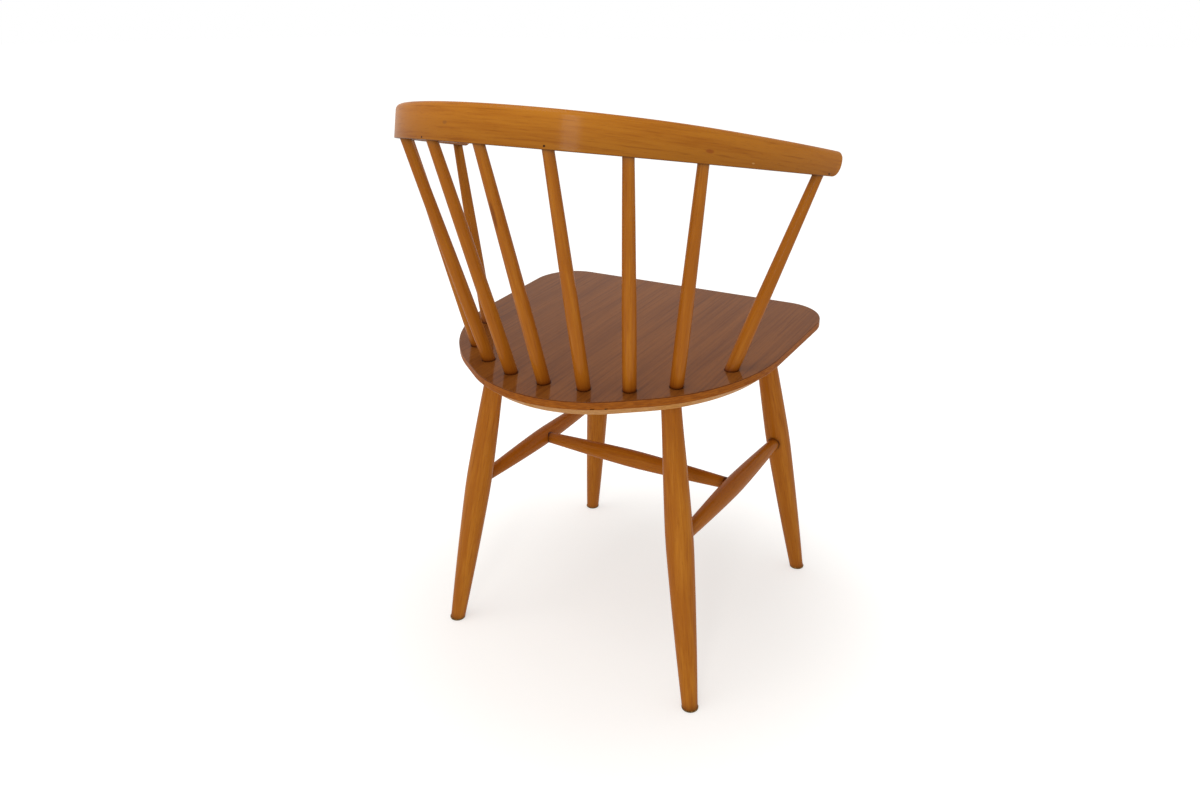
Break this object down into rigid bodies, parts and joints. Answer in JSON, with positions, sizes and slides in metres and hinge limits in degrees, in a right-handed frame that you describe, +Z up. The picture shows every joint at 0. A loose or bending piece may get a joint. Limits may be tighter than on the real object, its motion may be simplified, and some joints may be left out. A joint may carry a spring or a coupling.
{
  "type": "spindle-back chair",
  "caption": "Low wooden chair with a rounded veneered seat on splayed turned legs, joined by an H stretcher, and a bent rail that wraps round the back and sides on turned spindles.",
  "frame": {"origin": "on the floor, under the middle of the chair's bounding box", "axes": "+Z is up, the sitter faces -Y, and +X is the sitter's left"},
  "size_m": [0.5402, 0.5478, 0.7456],
  "materials": {
    "seat": "oiled dark veneer over a plywood core, satin with a grey gloss",
    "rail": "golden varnish, glossy",
    "spindles": "golden varnish, glossy",
    "legs": "golden varnish, glossy",
    "stretchers": "golden varnish, glossy",
    "glides": "dull and browned"
  },
  "bodies": {
    "root": {"seat": "seat", "back_rail": "rail", "spindle_1": "spindles", "spindle_2": "spindles", "spindle_3": "spindles", "spindle_4": "spindles", "spindle_5": "spindles", "spindle_6": "spindles", "spindle_7": "spindles", "spindle_8": "spindles", "spindle_9": "spindles", "leg_front_left": "legs", "leg_front_right": "legs", "leg_back_left": "legs", "leg_back_right": "legs", "side_stretcher_left": "stretchers", "side_stretcher_right": "stretchers", "cross_stretcher": "stretchers", "glide_front_left": "glides", "glide_front_right": "glides", "glide_back_left": "glides", "glide_back_right": "glides"}
  },
  "joints": []
}
